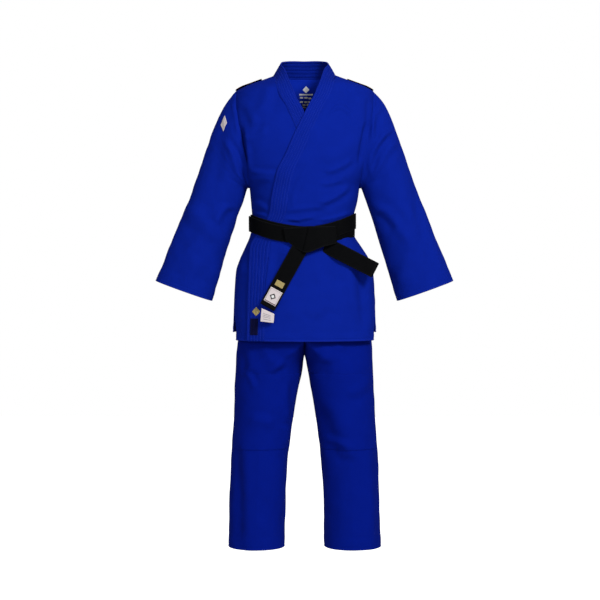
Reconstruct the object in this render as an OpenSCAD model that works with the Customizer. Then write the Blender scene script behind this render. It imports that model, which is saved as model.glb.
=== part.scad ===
// Judo uniform: a crossed jacket with a tied belt, worn over straight trousers.
// Origin: on the shoulder line between the shoulders. +Z up, the front faces -Y,
// the wearer's left is +X.

/* [Jacket] */
// Thickness of the jacket cloth
cloth_t = 3; // [2:0.5:4]
// Gap left between two pieces that are sewn or lie on each other
seam_gap = 0.6; // [0.4:0.1:1]
// Thickness of the quilted lapel band
lapel_t = 4.4; // [3.5:0.1:4.6]
// Height of the cuff facing
cuff_h = 38; // [20:2:50]

/* [Belt] */
// Width of the belt
belt_w = 42; // [36:1:44]
// Thickness of the belt
belt_t = 4; // [3:0.2:4.2]
// Length of the long loose end
long_tail_l = 190; // [120:5:200]
// Length of the short loose end
short_tail_l = 110; // [80:2:120]

/* [Trousers] */
// Thickness of the trouser cloth
leg_cloth_t = 2.4; // [1.5:0.1:2.5]
// Height of the waistband casing
waistband_h = 42; // [30:1:50]
// Height of the turned-up hem of a leg
leg_hem_h = 30; // [20:1:40]

/* [Hidden] */

jacket_blue = [0.05, 0.13, 0.55];
lapel_blue = [0.04, 0.11, 0.48];
trouser_blue = [0.03, 0.09, 0.45];
belt_black = [0.05, 0.05, 0.06];
label_white = [0.85, 0.83, 0.84];
mark_gold = [0.62, 0.55, 0.33];

hinge_z = -446;          // height of the fold line under the belt
skirt_gap = 1.2;         // clearance between the waist pieces and the skirt
front_hem_z = -711;      // front hem of the jacket
back_hem_z = -690;       // back hem of the jacket
yoke_hem_z = -128;       // lower edge of the doubled shoulder yoke
vent_z = -470;           // top of the side vents
seam_angle = 0.5;        // half the gap at a side seam, in degrees
roundness = 0.85;        // below 1 makes a section boxier than an ellipse

// Jacket above the skirt, one row per level:
// [z, half width, front edge y, front middle y, back edge y, back middle y, lift]
// The edges part between z = -12 and z = -278, where the armholes are.
body_rows = [
    [30, 100, 12, -62, 12, 78, 1], [22, 125, 12, -72, 12, 92, 1],
    [12, 150, 12, -82, 12, 100, 1], [2, 175, 12, -92, 12, 106, 1],
    [-12, 195, 10, -101, 14, 111, 0.6], [-30, 194, -15, -108, 38, 115, 0.2],
    [-60, 190, -38, -114, 54, 118, 0], [-110, 182, -52, -119, 64, 120, 0],
    [-160, 175, -55, -121, 66, 120, 0], [-210, 168, -48, -120, 58, 118, 0],
    [-250, 163, -30, -117, 38, 115, 0], [-278, 160, 4, -114, 4, 112, 0],
    [-330, 153, 4, -108, 4, 106, 0], [-360, 144, 4, -102, 4, 100, 0],
    [-400, 138, 3, -98, 3, 98, 0], [-420, 140, 3, -98, 3, 98, 0],
    [-446, 154, 2, -102, 2, 102, 0]
];
// Jacket skirt, in the same columns
skirt_rows = [
    [-446, 154, 2, -102, 2, 102, 0], [-480, 175, 3, -108, 3, 108, 0],
    [-523, 191, 4, -112, 4, 112, 0], [-593, 196, 4, -116, 4, 118, 0],
    [-650, 198, 4, -117, 4, 119, 0], [-711, 200, 4, -118, 4, 120, 0]
];
// Free edge and sewn edge of the upper lapel: [z, x]
lapel_free = [
    [24, 50], [-4, 36], [-36, 17], [-60, 0], [-128, -29], [-185, -53], [-244, -83],
    [-300, -94], [-356, -100], [-421, -122], [-446, -128], [-560, -150], [-711, -165]
];
lapel_sewn = [
    [24, 88], [-4, 80], [-36, 64], [-60, 48], [-128, 18], [-185, -6], [-244, -34],
    [-300, -46], [-356, -52], [-421, -76], [-446, -82], [-560, -97], [-711, -108]
];
// Half of the collar from the front to the middle of the back: [top, base]
collar_half = [
    [[45, -70, 22], [84, -56, 23]], [[54, -50, 46], [84, -32, 29]],
    [[61, -26, 66], [88, -8, 33]], [[64, 0, 78], [88, 20, 36]],
    [[60, 26, 83], [82, 47, 37]], [[46, 48, 84], [58, 68, 37]],
    [[24, 61, 83], [30, 79, 36]], [[0, 65, 82], [0, 82, 36]]
];
// Trousers above the crotch: [z, half width, half depth]
hip_rows = [
    [-300, 130, 86], [-345, 132, 88], [-420, 134, 90], [-447, 139, 92],
    [-480, 156, 96], [-523, 172, 100], [-600, 182, 104], [-692, 188, 106]
];
// One leg: [z, outer x, inner x, half depth]
leg_rows = [
    [-692, 188, 2, 106], [-730, 191, 2, 104], [-765, 193, 4, 100],
    [-800, 195, 9, 96], [-865, 198, 21, 90], [-930, 201, 33, 86],
    [-983, 205, 40, 83], [-1024, 207, 45, 81], [-1092, 210, 50, 77],
    [-1179, 214, 55, 73], [-1240, 215, 56, 71], [-1300, 217, 57, 70]
];
crotch_z = -800;         // level where a leg has become round
knee_top_z = -800;
knee_low_z = -1024;

// Sleeve axis, in the plane y = 4: [x, z, half width, half depth]
sleeve_y = 4;
sleeve_tilt = 19.7;
sleeve_rows = [
    [233, -257, 69, 62], [255, -322, 70, 61], [280, -390, 73, 59],
    [312, -482, 77, 58], [344, -572, 82, 57]
];
armhole_mid_z = -145;
armhole_half_h = 131;

function lerp(a, b, t) = a + (b - a) * t;
function smooth(t) = let (u = max(0, min(1, t))) u * u * (3 - 2 * u);
// Value of a table's column k at level z; levels fall down the table
function at(rows, z, k) = let (last = len(rows) - 1)
    z >= rows[0][0] ? rows[0][k] : z <= rows[last][0] ? rows[last][k] :
    let (i = max([for (j = [0:last - 1]) if (rows[j][0] >= z) j]))
    lerp(rows[i][k], rows[i + 1][k], (rows[i][0] - z) / (rows[i][0] - rows[i + 1][0]));
function row_at(rows, z) = [for (k = [0:len(rows[0]) - 1]) k == 0 ? z : at(rows, z, k)];

// Point of the torso at angle t (0 = +X, 90 = back, 270 = front)
function torso_point(rows, z, t, off) = let (
    r = row_at(rows, z), s = sin(t), reach = pow(abs(s), roundness))
    [(r[1] + off) * cos(t),
     s >= 0 ? r[4] + (r[5] + off - r[4]) * reach : r[2] + (r[3] - off - r[2]) * reach,
     z + off * r[6] * abs(cos(t))];
// Angle on the front of the torso where x has the given value
function front_angle(rows, z, x) = 360 - acos(max(-1, min(1, x / at(rows, z, 1))));

// Closed solid between two grids of points; rows fall, columns turn anticlockwise
module shell(outer, inner, closed = false) {
    rows = len(outer);
    cols = len(outer[0]);
    half = rows * cols;
    last = closed ? cols - 1 : cols - 2;
    function o(r, c) = r * cols + c % cols;
    function i(r, c) = half + r * cols + c % cols;
    skin = [for (r = [0:rows - 2]) for (c = [0:last]) each [
        [o(r, c), o(r, c + 1), o(r + 1, c + 1)],
        [o(r, c), o(r + 1, c + 1), o(r + 1, c)],
        [i(r, c), i(r + 1, c + 1), i(r, c + 1)],
        [i(r, c), i(r + 1, c), i(r + 1, c + 1)]]];
    rims = [for (c = [0:last]) each [
        [o(0, c + 1), o(0, c), i(0, c)],
        [o(0, c + 1), i(0, c), i(0, c + 1)],
        [o(rows - 1, c), o(rows - 1, c + 1), i(rows - 1, c + 1)],
        [o(rows - 1, c), i(rows - 1, c + 1), i(rows - 1, c)]]];
    sides = closed ? [] : [for (r = [0:rows - 2]) each [
        [o(r, 0), o(r + 1, 0), i(r + 1, 0)],
        [o(r, 0), i(r + 1, 0), i(r, 0)],
        [o(r + 1, cols - 1), o(r, cols - 1), i(r, cols - 1)],
        [o(r + 1, cols - 1), i(r, cols - 1), i(r + 1, cols - 1)]]];
    polyhedron(concat([for (r = outer) each r], [for (r = inner) each r]),
        concat(skin, rims, sides), convexity = 8);
}

// Levels from z_top to z_low that keep a table's own rows
function levels(rows, z_top, z_low) = concat([z_top],
    [for (r = rows) if (r[0] < z_top - 2 && r[0] > z_low + 2) r[0]], [z_low]);

// The over panel stands off the under panel across the front
function over_off(t) = 0.5 + 5.2 * smooth((354 - t) / 32);

// Piece of the torso between the angles from(z) and to(z)
module torso_piece(rows, zs, angles, low, high, cols) {
    function grid(off) = [for (n = [0:len(zs) - 1]) [for (c = [0:cols])
        let (t = lerp(angles[n][0], angles[n][1], c / cols))
        torso_point(rows, zs[n], t, off == 0 ? low(t) : high(t))]];
    shell(grid(1), grid(0));
}

body_levels = levels(body_rows, 29, hinge_z + skirt_gap);
yoke_levels = levels(body_rows, 30, yoke_hem_z);
back_levels = levels(body_rows, yoke_hem_z - seam_gap, hinge_z + skirt_gap);
front_skirt_levels = levels(skirt_rows, hinge_z - skirt_gap, front_hem_z);
back_skirt_levels = levels(skirt_rows, hinge_z - skirt_gap, back_hem_z);

module back_part(zs) {
    low = function (t) 1.5;
    high = function (t) 1.5 + cloth_t;
    color(jacket_blue) torso_piece(body_rows, zs,
        [for (z = zs) [seam_angle, 180 - seam_angle]], low, high, 22);
}
module back_yoke() back_part(yoke_levels);
module back_panel() back_part(back_levels);

module front_panel_left() {
    low = function (t) over_off(t);
    high = function (t) over_off(t) + cloth_t;
    color(jacket_blue) torso_piece(body_rows, body_levels,
        [for (z = body_levels) [front_angle(body_rows, z, at(lapel_sewn, z, 1)) + seam_angle,
            360 - seam_angle]], low, high, 12);
}

module front_panel_right() {
    low = function (t) 0;
    high = function (t) cloth_t;
    color(jacket_blue) torso_piece(body_rows, body_levels,
        [for (z = body_levels) [180 + seam_angle,
            front_angle(body_rows, z, -at(lapel_sewn, z, 1)) - seam_angle]], low, high, 12);
}

// Lapel band, side = 1 for the upper (left) one and -1 for the lower one
module lapel(rows, zs, side, low_off) {
    low = function (t) low_off;
    high = function (t) low_off + lapel_t;
    color(lapel_blue) torso_piece(rows, zs, [for (z = zs) let (
        free = front_angle(rows, z, side * at(lapel_free, z, 1)),
        sewn = front_angle(rows, z, side * at(lapel_sewn, z, 1)))
        [min(free, sewn), max(free, sewn)]], low, high, 4);
}
lapel_levels = levels(body_rows, 19, hinge_z + skirt_gap);
over_lapel_off = 5.7;
module lapel_left() lapel(body_rows, lapel_levels, 1, over_lapel_off);
module lapel_right() lapel(body_rows, lapel_levels, -1, 0.2);
module lapel_lower_left() lapel(skirt_rows, front_skirt_levels, 1, over_lapel_off);

module collar() {
    back = len(collar_half) - 1;
    path = concat(collar_half, [for (n = [back - 1:-1:0])
        [[-collar_half[n][0][0], collar_half[n][0][1], collar_half[n][0][2]],
         [-collar_half[n][1][0], collar_half[n][1][1], collar_half[n][1][2]]]]);
    function out(p, off) = let (d = [p[0], p[1] - 10, 0]) p + off * d / norm(d);
    function grid(off) = [for (v = [0, 0.5, 1]) [for (pair = path)
        out(lerp(pair[0], pair[1], v), off)]];
    color(lapel_blue) shell(grid(lapel_t), grid(0));
}

// Decorative tape lying along the shoulder line
module shoulder_tape(side) {
    color(belt_black)
        translate([side * 136, 12, 25.8])
            rotate([0, side * 19.5, 0])
                cube([58, 26, 1.6], center = true);
}
module shoulder_tape_left() shoulder_tape(1);
module shoulder_tape_right() shoulder_tape(-1);

module neck_label() {
    zs = [20, 4, -12, -34];
    low = function (t) -1.2;
    high = function (t) -0.2;
    color(label_white) torso_piece(body_rows, zs, [for (z = zs) let (
        a = at(body_rows, z, 1)) [acos(22 / a), acos(-22 / a)]], low, high, 4);
}

// Point of the armhole opening at angle t (0 = top, 90 = back)
function armhole_point(t, off) = let (
    z = armhole_mid_z + (armhole_half_h + off) * cos(t),
    depth = 58 + off - 2 * cos(t))
    [at(body_rows, z, 1) + 6, 5 + depth * sin(t), z];
// Point of the sleeve at row r, angle t (0 = outer edge, 90 = back)
function sleeve_point(r, t, off) =
    [r[0] + (r[2] + off) * cos(t) * cos(sleeve_tilt), sleeve_y + (r[3] + off) * sin(t),
     r[1] + (r[2] + off) * cos(t) * sin(sleeve_tilt)];
function head_point(v, t, off) = let (
    a = armhole_point(t, off),
    b = sleeve_point(sleeve_rows[0], t, off) + [-0.4, 0, 1.2],
    bulge = a + [46, 0, -20] * (1 + cos(t)) / 2 + [8, 0, -10] * (1 - cos(t)) / 2)
    lerp(lerp(a, bulge, v), lerp(bulge, b, v), v);

sleeve_step = 15;
module sleeve_head() {
    function grid(off) = [for (n = [0:5]) [for (t = [0:sleeve_step:359])
        head_point(n / 5, t, off)]];
    color(jacket_blue) shell(grid(cloth_t), grid(0), closed = true);
}
function sleeve_section(v) = let (n = min(3, floor(v * 4)))
    lerp(sleeve_rows[n], sleeve_rows[n + 1], v * 4 - n);
module sleeve_tube(v_top, v_low, low, high, steps) {
    function grid(off) = [for (n = [0:steps]) [for (t = [0:sleeve_step:359])
        sleeve_point(sleeve_section(lerp(v_top, v_low, n / steps)), t, off)]];
    color(jacket_blue) shell(grid(high), grid(low), closed = true);
}
module sleeve() sleeve_tube(0, 1, 0, cloth_t, 8);
// Turned-in facing of the cuff, inside the sleeve
module cuff() sleeve_tube(1 - cuff_h / 336, 1, -seam_gap - 1.6, -seam_gap, 2);
module on_right() mirror([1, 0, 0]) children();
module sleeve_head_left() sleeve_head();
module sleeve_head_right() on_right() sleeve_head();
module sleeve_left() sleeve();
module sleeve_right() on_right() sleeve();
module cuff_left() cuff();
module cuff_right() on_right() cuff();

// Woven patch high on the right sleeve, facing outwards and forwards
patch_place = [251.5, -18, -83.5];
module sleeve_patch() color(mark_gold) on_right()
    translate(patch_place) rotate([0, -21.5, -25.5]) cube([1.2, 26, 30], center = true);

// Skirt edges move inwards from the side seams down the vents
function vent_angle(z) = seam_angle + 35 * smooth((vent_z - z) / (vent_z - front_hem_z) * 0.9);
module skirt_front_left() {
    low = function (t) over_off(t);
    high = function (t) over_off(t) + cloth_t;
    color(jacket_blue) torso_piece(skirt_rows, front_skirt_levels, [for (z = front_skirt_levels)
        [front_angle(skirt_rows, z, at(lapel_sewn, z, 1)) + seam_angle, 360 - vent_angle(z)]],
        low, high, 14);
}
module skirt_front_right() {
    low = function (t) 0;
    high = function (t) cloth_t;
    color(jacket_blue) torso_piece(skirt_rows, front_skirt_levels, [for (z = front_skirt_levels)
        [180 + vent_angle(z), front_angle(skirt_rows, z, -at(lapel_free, z, 1))]],
        low, high, 14);
}
module skirt_back() {
    low = function (t) 1.5;
    high = function (t) 1.5 + cloth_t;
    color(jacket_blue) torso_piece(skirt_rows, back_skirt_levels,
        [for (z = back_skirt_levels) [seam_angle, 180 - seam_angle]], low, high, 22);
}

// Flat patch on the lower lapel between the heights z_top and z_low
module hem_piece(z_top, z_low, x_left, x_right, paint) {
    zs = [z_top, (z_top + z_low) / 2, z_low];
    low = function (t) over_lapel_off + lapel_t + seam_gap;
    high = function (t) over_lapel_off + lapel_t + seam_gap + 1;
    color(paint) torso_piece(skirt_rows, zs, [for (z = zs) [front_angle(skirt_rows, z, x_left),
        front_angle(skirt_rows, z, x_right)]], low, high, 3);
}
module hem_mark() hem_piece(-613, -641, -151, -125, mark_gold);
module hem_label() hem_piece(-647, -693, -155, -131, belt_black);

// Belt round the waist; it dips at the front
module belt_wrap(mid_z, tilt, dip, side_off, front_off) {
    function ring_point(t, off, up) = let (
        s = sin(t), reach = pow(abs(s), roundness),
        z = mid_z + tilt * cos(t) - (s < 0 ? dip * s * s : 0) + up)
        [(143 + side_off + off) * cos(t),
         3 + (s >= 0 ? 97 + side_off + off : -(102 + front_off + off)) * reach, z];
    function grid(off) = [for (up = [belt_w / 2, 0, -belt_w / 2]) [for (t = [0:7.5:359])
        ring_point(t, off, up)]];
    color(belt_black) shell(grid(belt_t), grid(0), closed = true);
}
inner_side_off = 8.6;
inner_front_off = 11.4;
module belt_inner_wrap() belt_wrap(-388, -10, 26, inner_side_off, inner_front_off);
module belt_outer_wrap() belt_wrap(-378, 4, 38, inner_side_off + belt_t + seam_gap,
    inner_front_off + belt_t + seam_gap);

knot_y = -122;
module knot_slab(points, depth) rotate([90, 0, 0]) linear_extrude(depth)
    offset(r = 3, $fn = 16) offset(delta = -3) polygon(points);
module belt_knot() {
    color(belt_black) {
        translate([0, knot_y, 0])
            knot_slab([[2, -390], [58, -396], [54, -434], [14, -446], [-30, -444], [-28, -430]], 6);
        translate([0, knot_y - 6, 0])
            knot_slab([[6, -396], [44, -398], [38, -436], [14, -444], [-24, -442]], 6);
    }
}

// Loose end of the belt: a flat strap from start, turned away from straight down
module tail(start, turn, length, lean) translate(start) rotate([0, turn, 0]) rotate([lean, 0, 0])
    translate([-belt_w / 2, 0, -length]) children();
long_tail_start = [-22, -126, -449];
long_tail_turn = 27;
short_tail_start = [98, -122, -464];
short_tail_turn = -63;
tail_top_z = -462;       // the long end is free below this level
short_tail_top_z = -452;
module on_long_tail() tail(long_tail_start, long_tail_turn, long_tail_l, 1) children();
module below(z) intersection() {
    children();
    translate([-400, -400, z - 400]) cube([800, 800, 400]);
}
module belt_long_tail() color(belt_black) below(tail_top_z) on_long_tail()
    cube([belt_w, belt_t, long_tail_l + 30]);
module belt_short_tail() color(belt_black) below(short_tail_top_z)
    tail(short_tail_start, short_tail_turn, short_tail_l, -4) cube([belt_w, belt_t, short_tail_l]);
module tail_piece(from_end, width, height, paint) color(paint) on_long_tail()
    translate([(belt_w - width) / 2, -1.6, from_end]) cube([width, 1, height]);
module belt_mark() tail_piece(60, 28, 22, mark_gold);
module belt_label() tail_piece(12, 36, 42, label_white);
module belt_care_tag() color(label_white) on_long_tail()
    translate([3, 1, -30]) cube([belt_w - 10, 1, 29.4]);

// Ring of the hips at row r
function hip_point(r, t, off) = [(r[1] + off) * cos(t), 2 + (r[2] + off) * sin(t), r[0]];
module hip_tube(zs, low, high) {
    function grid(off) = [for (z = zs) [for (t = [0:12:359]) hip_point(row_at(hip_rows, z), t, off)]];
    color(trouser_blue) shell(grid(high), grid(low), closed = true);
}
module waistband() hip_tube([-300, -300 - waistband_h], 0, leg_cloth_t + 1.6);
// The seat is two halves sewn along the middle of the front and the back
seat_levels = levels(hip_rows, -300 - waistband_h - seam_gap, -691);
seat_seam_angle = 0.15;
module seat_half(from) {
    function grid(off) = [for (z = seat_levels) [for (c = [0:15])
        hip_point(row_at(hip_rows, z), lerp(from + seat_seam_angle, from + 180 - seat_seam_angle, c / 15), off)]];
    color(trouser_blue) shell(grid(leg_cloth_t), grid(0));
}
module seat_left() seat_half(-90);
module seat_right() seat_half(90);
eyelet_y = -89.5;
module drawcord_eyelets() color(mark_gold) for (side = [-1, 1])
    translate([side * 17, eyelet_y - 1.4, -321]) rotate([90, 0, 0]) difference() {
        cylinder(r = 6, h = 1.6, $fn = 48);
        translate([0, 0, -1]) cylinder(r = 3, h = 4, $fn = 48);
    }
module drawcord_loop() color(trouser_blue) translate([0, eyelet_y - 4, -352]) difference() {
    cube([9, 5, 26], center = true);
    translate([0, 1.2, 0]) cube([12, 3.4, 18], center = true);
}

// Leg section: half of the hip ring above, its own ring from the crotch down
function leg_point(z, t, off) = let (
    r = row_at(leg_rows, z), mid = (r[1] + r[2]) / 2, half = (r[1] - r[2]) / 2,
    k = smooth((leg_rows[0][0] - z) / (leg_rows[0][0] - crotch_z)),
    outer_side = cos(t) >= 0,
    flat = [outer_side ? r[2] - off + (r[1] - r[2] + 2 * off) * cos(t) : r[2] - off,
        2 + (r[3] + off) * sin(t), z],
    own = [mid + (half + off) * cos(t), 2 + (r[3] + off) * sin(t), z])
    lerp(flat, own, k);
module leg_tube(z_top, z_low, low, high) {
    zs = levels(leg_rows, z_top, z_low);
    function grid(off) = [for (z = zs) [for (t = [0:15:359]) leg_point(z, t, off)]];
    color(trouser_blue) shell(grid(high), grid(low), closed = true);
}
inner_leg_gap = 2.6;
module thigh() leg_tube(-692, knee_top_z + seam_gap, -inner_leg_gap, leg_cloth_t - inner_leg_gap);
module knee() leg_tube(knee_top_z, knee_low_z + seam_gap, -inner_leg_gap, leg_cloth_t - inner_leg_gap);
module lower_leg() leg_tube(knee_low_z, -1300, -inner_leg_gap, leg_cloth_t - inner_leg_gap);
// Second layer sewn over the front of the knee
module knee_patch() {
    zs = levels(leg_rows, knee_top_z - 2, knee_low_z + 3);
    function grid(off) = [for (z = zs) [for (t = [198:12:342]) leg_point(z, t, off)]];
    color(trouser_blue) shell(grid(leg_cloth_t - inner_leg_gap + seam_gap + 2),
        grid(leg_cloth_t - inner_leg_gap + seam_gap));
}
module leg_hem() leg_tube(-1300 + leg_hem_h, -1300, -inner_leg_gap - seam_gap - 1.6,
    -inner_leg_gap - seam_gap);
module thigh_left() thigh();
module thigh_right() on_right() thigh();
module knee_left() knee();
module knee_right() on_right() knee();
module knee_patch_left() knee_patch();
module knee_patch_right() on_right() knee_patch();
module lower_leg_left() lower_leg();
module lower_leg_right() on_right() lower_leg();
module leg_hem_left() leg_hem();
module leg_hem_right() on_right() leg_hem();

back_yoke();
back_panel();
front_panel_left();
front_panel_right();
collar();
lapel_left();
lapel_right();
shoulder_tape_left();
shoulder_tape_right();
neck_label();
sleeve_head_left();
sleeve_head_right();
sleeve_left();
sleeve_right();
cuff_left();
cuff_right();
sleeve_patch();
skirt_front_left();
skirt_front_right();
lapel_lower_left();
skirt_back();
hem_mark();
hem_label();
belt_inner_wrap();
belt_outer_wrap();
belt_knot();
belt_long_tail();
belt_short_tail();
belt_mark();
belt_label();
belt_care_tag();
waistband();
drawcord_eyelets();
drawcord_loop();
seat_left();
seat_right();
thigh_left();
thigh_right();
knee_left();
knee_right();
knee_patch_left();
knee_patch_right();
lower_leg_left();
lower_leg_right();
leg_hem_left();
leg_hem_right();
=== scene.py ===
"""Judo uniform: cloth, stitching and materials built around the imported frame. Metres, +Z up, front -Y."""
import math

import bpy
import numpy as np
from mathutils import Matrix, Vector


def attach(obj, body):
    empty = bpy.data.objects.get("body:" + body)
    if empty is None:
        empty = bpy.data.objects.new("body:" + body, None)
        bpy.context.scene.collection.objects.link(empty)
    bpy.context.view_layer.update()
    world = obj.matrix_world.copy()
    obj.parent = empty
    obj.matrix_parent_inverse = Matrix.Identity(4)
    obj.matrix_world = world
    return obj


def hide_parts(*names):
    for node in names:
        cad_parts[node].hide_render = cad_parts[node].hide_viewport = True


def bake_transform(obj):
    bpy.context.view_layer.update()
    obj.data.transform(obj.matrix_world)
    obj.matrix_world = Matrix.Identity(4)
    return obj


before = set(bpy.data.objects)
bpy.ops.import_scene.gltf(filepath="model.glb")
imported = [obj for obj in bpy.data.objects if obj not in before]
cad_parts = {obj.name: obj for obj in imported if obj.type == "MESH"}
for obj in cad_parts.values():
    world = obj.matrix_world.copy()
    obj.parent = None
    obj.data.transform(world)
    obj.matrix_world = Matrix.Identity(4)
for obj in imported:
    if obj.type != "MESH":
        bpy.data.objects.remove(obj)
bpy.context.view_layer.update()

MM = 0.001

# ---- camera, light, floor
SCENE = bpy.context.scene
VIEW_WIDTH = 1.71          # width of the picture at the uniform's middle plane
CAMERA_DISTANCE = 4.3
CAMERA_Z = -0.5
PICTURE_MID = (-0.0128, -0.599)     # x and z in the middle of the picture
AMBIENT = 0.36             # light from all round, beside the two lamps
FLOOR_Z = -1.84            # low enough for the trousers when they slide out of the jacket


def placed(name, data):
    """A new object of the scene."""
    thing = bpy.data.objects.new(name, data)
    SCENE.collection.objects.link(thing)
    return thing


def make_camera():
    data = bpy.data.cameras.new("camera")
    data.lens = data.sensor_width * CAMERA_DISTANCE / VIEW_WIDTH
    data.shift_y = (PICTURE_MID[1] - CAMERA_Z) / VIEW_WIDTH
    camera = placed("camera", data)
    camera.location = (PICTURE_MID[0], -CAMERA_DISTANCE, CAMERA_Z)
    camera.rotation_euler = (math.pi / 2, 0, 0)
    SCENE.camera = camera


def make_light(name, place, target, size, power):
    data = bpy.data.lights.new(name, "AREA")
    data.shape = "DISK"
    data.size = size
    data.energy = power
    lamp = placed(name, data)
    lamp.location = place
    lamp.rotation_euler = (Vector(target) - Vector(place)).to_track_quat("-Z", "Y").to_euler()


def seen_or_felt(tree, seen, felt):
    """seen for rays straight from the camera, felt for all others."""
    path = tree.nodes.new("ShaderNodeLightPath")
    value = tree.nodes.new("ShaderNodeMapRange")
    tree.links.new(path.outputs["Is Camera Ray"], value.inputs["Value"])
    value.inputs["To Min"].default_value = felt
    value.inputs["To Max"].default_value = seen
    return value.outputs["Result"]


def make_floor():
    """A pale seamless floor that looks as white as the space above it."""
    mesh = bpy.data.meshes.new("studio_floor")
    corners = [(-9, -9, FLOOR_Z), (9, -9, FLOOR_Z), (9, 9, FLOOR_Z), (-9, 9, FLOOR_Z)]
    mesh.from_pydata(corners, [], [(0, 1, 2, 3)])
    paint = bpy.data.materials.new("pale_floor")
    paint.use_nodes = True
    shader = paint.node_tree.nodes["Principled BSDF"]
    shader.inputs["Base Color"].default_value = (0.8, 0.8, 0.8, 1)
    shader.inputs["Roughness"].default_value = 0.9
    shader.inputs["Emission Color"].default_value = (1, 1, 1, 1)
    glow = seen_or_felt(paint.node_tree, 1.0, 0.0)
    paint.node_tree.links.new(glow, shader.inputs["Emission Strength"])
    mesh.materials.append(paint)
    placed("studio_floor", mesh)


def make_world():
    world = bpy.data.worlds.new("studio")
    world.use_nodes = True
    tree = world.node_tree
    shade = tree.nodes["Background"]
    shade.inputs["Color"].default_value = (1, 1, 1, 1)
    tree.links.new(seen_or_felt(tree, 1.0, AMBIENT), shade.inputs["Strength"])
    SCENE.world = world
    SCENE.view_settings.view_transform = "Standard"
    SCENE.view_settings.look = "None"


make_camera()
make_world()
make_floor()
make_light("key", (1.7, -3.0, 1.6), (0, 0, -0.5), 1.1, 215)
make_light("fill", (-1.3, -3.4, 0.4), (0, 0, -0.6), 1.8, 60)

# ---- numbers of the cut, in mm
# Torso: [z, half width, front edge y, front middle y, back edge y, back middle y, share by which the
# cloth's thickness points up instead of out]
TORSO = np.array([
    [36, 84, 12, -54, 12, 83, 1], [30, 100, 12, -62, 12, 84.5, 1], [22, 122, 12, -72, 12, 89, 1],
    [12, 149, 12, -82, 12, 96, 1], [2, 175, 12, -92, 12, 103, 1],
    [-12, 195, 10, -101, 14, 110, 0.6], [-30, 193, -15, -108, 38, 115, 0.2],
    [-60, 189, -38, -114, 54, 118, 0], [-110, 182, -52, -119, 64, 120, 0],
    [-160, 174, -55, -121, 66, 120, 0], [-210, 164, -48, -120, 58, 118, 0],
    [-250, 157, -30, -117, 38, 115, 0], [-278, 152, 4, -114, 4, 112, 0],
    [-310, 148, 4, -111, 4, 109, 0], [-330, 145, 4, -108, 4, 106, 0], [-360, 140, 4, -102, 4, 100, 0],
    [-400, 139, 3, -98, 3, 98, 0], [-420, 145, 3, -99, 3, 98, 0],
    [-446, 159, 2, -103, 2, 102, 0], [-480, 177, 3, -108, 3, 108, 0],
    [-523, 191, 4, -112, 4, 112, 0], [-593, 196, 4, -116, 4, 118, 0],
    [-650, 198, 4, -117, 4, 119, 0], [-711, 200, 4, -118, 4, 120, 0]], float)
# Lapels: [z, x of the free edge] and [z, x of the sewn edge] of the wearer's left one
LAPEL_FREE = np.array([
    [24, 47], [-4, 36], [-36, 23], [-60, 9], [-82, -1], [-128, -23], [-185, -47], [-244, -74], [-300, -85],
    [-356, -94], [-400, -116], [-421, -132], [-446, -145], [-480, -148], [-560, -151], [-711, -155]], float)
LAPEL_SEWN = np.array([
    [24, 86], [-4, 80], [-36, 66], [-60, 52], [-82, 42], [-128, 22], [-185, -1], [-244, -27], [-300, -38],
    [-356, -46], [-400, -66], [-421, -79], [-446, -88], [-480, -92], [-560, -97], [-711, -103]], float)
# Collar, from the shoulder to the middle of the back: free edge and sewn edge
COLLAR_HALF = [
    [[47, -66, 23], [85, -54, 20]], [[52, -50, 43], [89, -32, 22]],
    [[58, -28, 58], [92, -8, 25]], [[65, 0, 69], [92, 20, 26]],
    [[61, 26, 80], [86, 47, 27]], [[48, 48, 85.5], [62, 70, 27]],
    [[27, 61, 88], [32, 81, 27]], [[0, 65, 88], [0, 84, 27]]]
# Hips: [z, half width, half depth]; leg: [z, outer x, inner x, half depth]
HIPS = np.array([
    [-300, 130, 86], [-345, 132, 88], [-420, 134, 90], [-447, 139, 92],
    [-480, 156, 96], [-523, 172, 100], [-600, 182, 104], [-692, 188, 106]], float)
LEG = np.array([
    [-692, 188, 2, 106], [-730, 191, 2, 104], [-765, 193, 4, 100],
    [-800, 195, 9, 96], [-865, 198, 21, 90], [-930, 201, 33, 86],
    [-983, 205, 40, 83], [-1024, 207, 45, 81], [-1092, 210, 50, 77],
    [-1179, 214, 55, 73], [-1240, 215, 56, 71], [-1300, 217, 57, 70]], float)
# Sleeve axis: [x, z, half width, half depth]
SLEEVE = np.array([
    [231, -256, 70, 62], [255, -322, 70, 61], [280, -390, 73, 59],
    [312, -482, 77, 58], [344, -572, 82, 57]], float)
SLEEVE_TILT = math.radians(19.7)
ROUNDNESS = 0.85           # below 1 makes the body's section flatter in front and behind
CLOTH_T = 3.0              # thickness of each cloth, and the belt's width
LAPEL_T = 4.4
BELT_W = 42.0
BELT_T = 4.0
LEG_T = 2.4
FRONT_HEM = -711.0
BACK_HEM = -690.0
VENT_TOP = -470.0
LEG_HEM = -1300.0
WAIST_Z = -395.0


# ---- small maths
def hermite(t, a, slope_a, b, slope_b):
    """Cubic from a at t = 0 to b at t = 1, with the given slopes there."""
    return ((2 * t**3 - 3 * t**2 + 1) * a + (t**3 - 2 * t**2 + t) * slope_a
            + (3 * t**2 - 2 * t**3) * b + (t**3 - t**2) * slope_b)


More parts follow.
